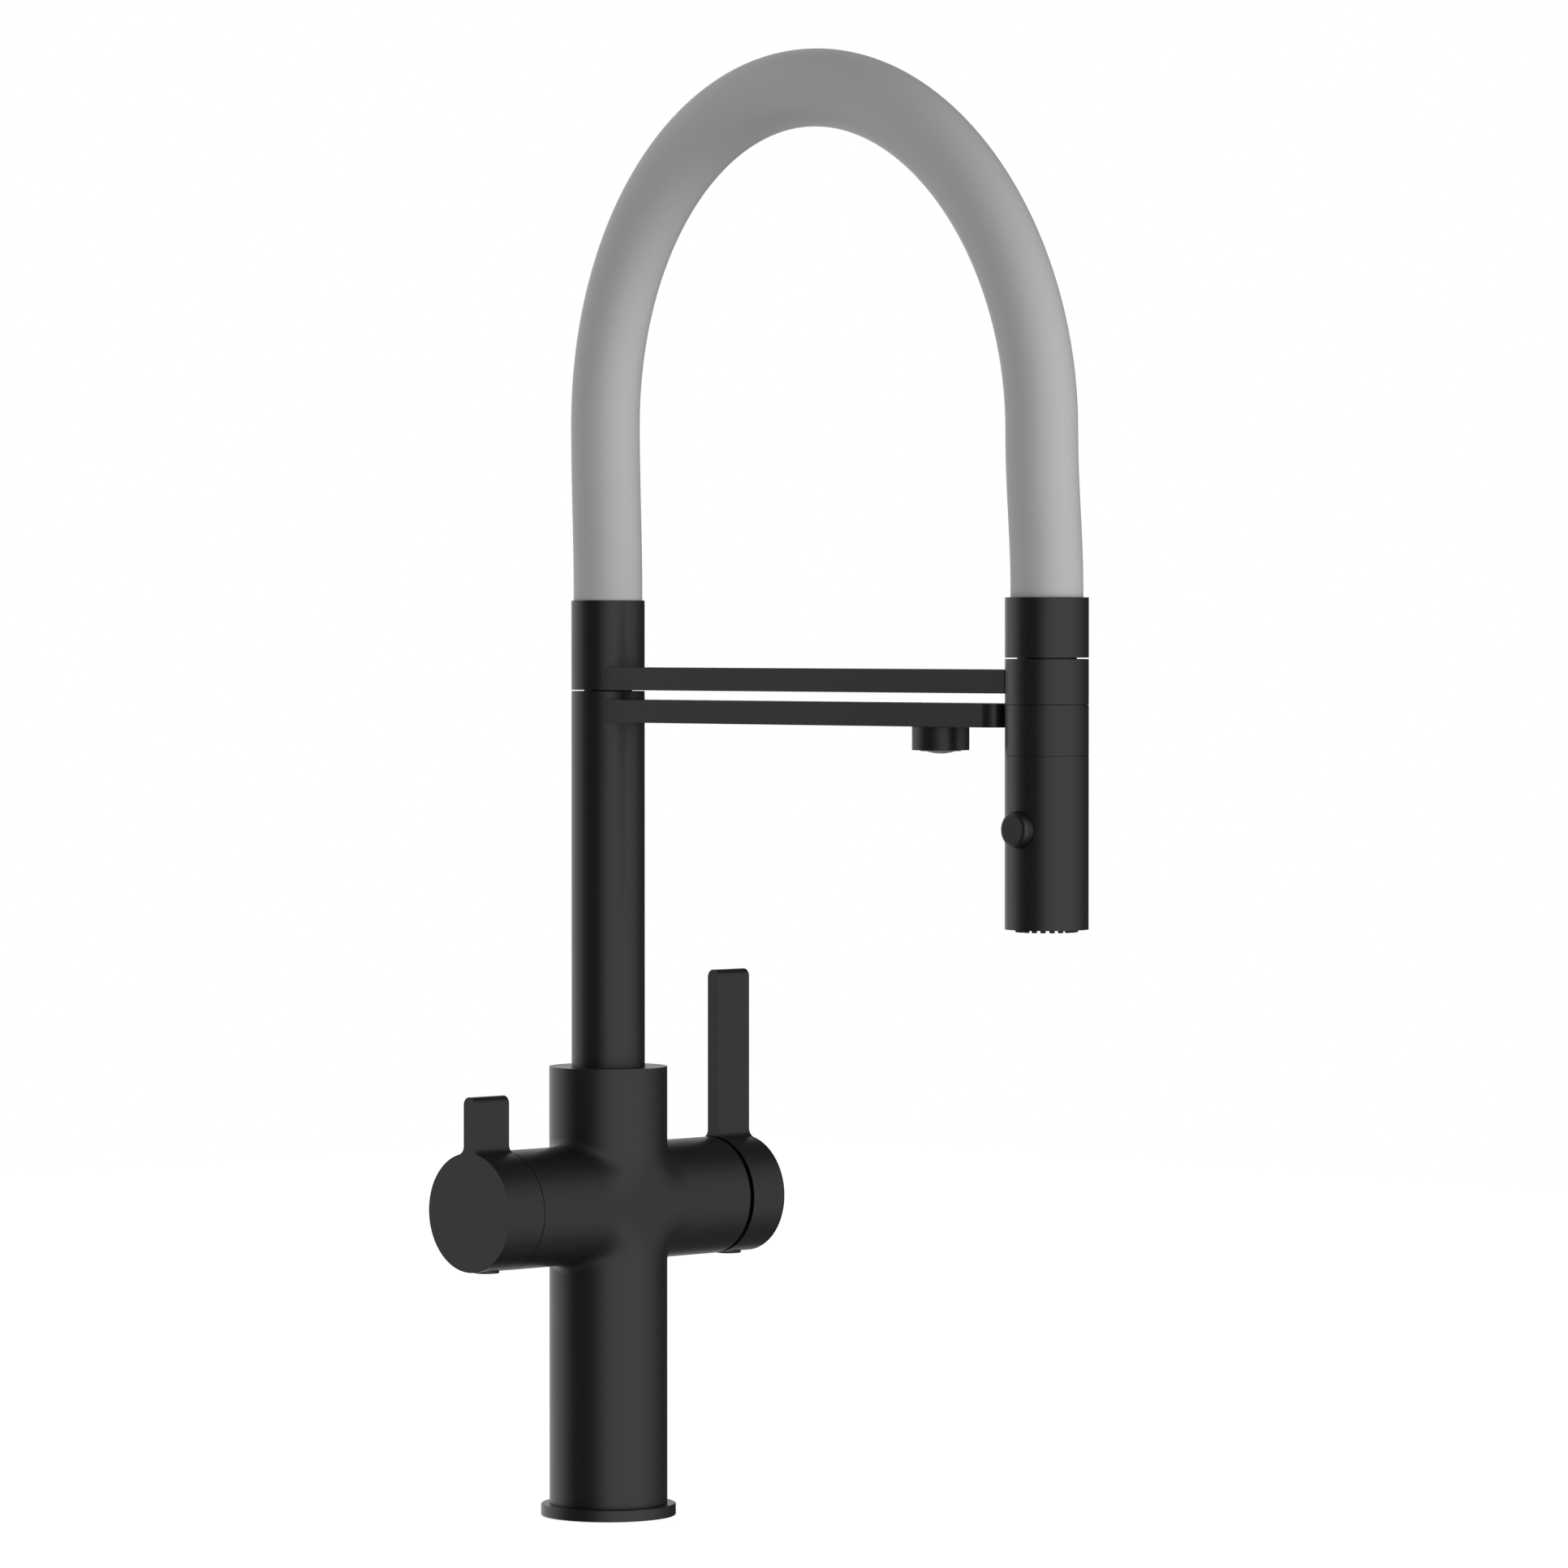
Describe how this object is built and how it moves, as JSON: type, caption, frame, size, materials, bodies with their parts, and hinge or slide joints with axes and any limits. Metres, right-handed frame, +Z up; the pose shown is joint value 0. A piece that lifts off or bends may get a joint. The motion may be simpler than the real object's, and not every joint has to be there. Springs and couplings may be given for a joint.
{
  "type": "kitchen tap",
  "caption": "Matt black kitchen tap with a grey hose arch, pull-off spray head on a dock arm, separate flat filtered-water spout and two side levers.",
  "frame": {"origin": "centre of the flange's underside, on the worktop", "axes": "+Z up along the riser, spouts toward -Y, filtered-water lever at -X, mixer lever at +X"},
  "size_m": [0.1446, 0.2698, 0.5533],
  "materials": {
    "black_coat": "satin matt powder coat",
    "grey_silicone": "smooth matt silicone",
    "black_rubber": "matt",
    "brass": "machined",
    "copper": "drawn tube",
    "steel": "bright",
    "white_plastic": "moulded",
    "grey_plastic": "moulded",
    "black_plastic": "moulded"
  },
  "bodies": {
    "base": {"base_flange": "black_coat", "base_seal": "black_rubber", "tap_body": "black_coat", "inlet_block": "brass", "supply_pipes": "copper", "filter_pipe": "copper", "mixer_cartridge": "white_plastic", "cartridge_seals": "black_rubber", "cartridge_nut": "brass", "mixer_dome": "black_coat", "filter_valve": "brass", "valve_seal": "black_rubber", "glide_ring": "white_plastic", "riser_screw": "steel"},
    "filter_handle": {"filter_lever": "black_coat", "filter_spindle": "brass", "filter_grub_screw": "steel", "filter_plug": "black_coat"},
    "mixer_turn": {"cartridge_rotor": "grey_plastic", "stem_pin": "steel"},
    "mixer_handle": {"mixer_stem": "brass", "mixer_lever": "black_coat", "mixer_grub_screw": "steel", "mixer_plug": "black_coat"},
    "spout": {"riser_tube": "black_coat", "riser_spigot": "brass", "spigot_orings": "black_rubber", "filter_tube": "white_plastic", "filter_spout": "black_coat", "outlet_cup": "black_coat", "outlet_insert": "grey_plastic", "top_spigot": "brass", "collar_washer": "black_plastic", "collar_circlip": "steel"},
    "arm": {"arm_collar": "black_coat", "dock_arm": "black_coat", "dock_magnet": "steel", "hose_tail": "brass", "tail_ferrule": "steel", "hose_sleeve": "grey_silicone", "support_coil": "steel", "inner_hose": "white_plastic"},
    "hose_end": {"hose_collar": "black_coat", "swivel_nipple": "black_coat", "nipple_ferrule": "steel", "nipple_seal": "black_rubber", "nipple_circlip": "steel"},
    "spray_head": {"dock_collar": "black_coat", "head_collar": "black_coat", "head_shell": "black_coat", "check_valve": "white_plastic", "valve_block": "grey_plastic", "face_plate": "black_coat", "spray_mat": "black_rubber", "button_spring": "steel"},
    "button": {"spray_button": "black_coat"}
  },
  "joints": [
    {"name": "filter_lever_turn", "type": "hinge", "parent": "base", "child": "filter_handle", "pos_m": [-0.054, 0, 0.1194], "axis": [1, 0, 0], "range_deg": [0, 90]},
    {"name": "mixer_temperature", "type": "hinge", "parent": "base", "child": "mixer_turn", "pos_m": [0.034, 0, 0.1194], "axis": [1, 0, 0], "range_deg": [-45, 45]},
    {"name": "mixer_flow", "type": "hinge", "parent": "mixer_turn", "child": "mixer_handle", "pos_m": [0.034, 0, 0.1194], "axis": [0, 1, 0], "range_deg": [0, 22]},
    {"name": "spout_swivel", "type": "hinge", "parent": "base", "child": "spout", "pos_m": [0, 0, 0.16], "axis": [0, 0, 1], "continuous": true},
    {"name": "arm_swivel", "type": "hinge", "parent": "spout", "child": "arm", "pos_m": [0, 0, 0.3153], "axis": [0, 0, 1], "continuous": true},
    {"name": "head_pull", "type": "slide", "parent": "arm", "child": "hose_end", "axis": [0, -1, 0], "range_m": [0, 0.08], "deforming": ["hose_sleeve", "support_coil", "inner_hose"]},
    {"name": "head_swivel", "type": "hinge", "parent": "hose_end", "child": "spray_head", "pos_m": [0, -0.2289, 0.3245], "axis": [0, 0, 1], "continuous": true},
    {"name": "button_press", "type": "slide", "parent": "spray_head", "child": "button", "axis": [1, 0, 0], "range_m": [0, 0.0025], "stiffness_N_per_m": 800, "springref_m": -0.004, "deforming": ["button_spring"]}
  ]
}
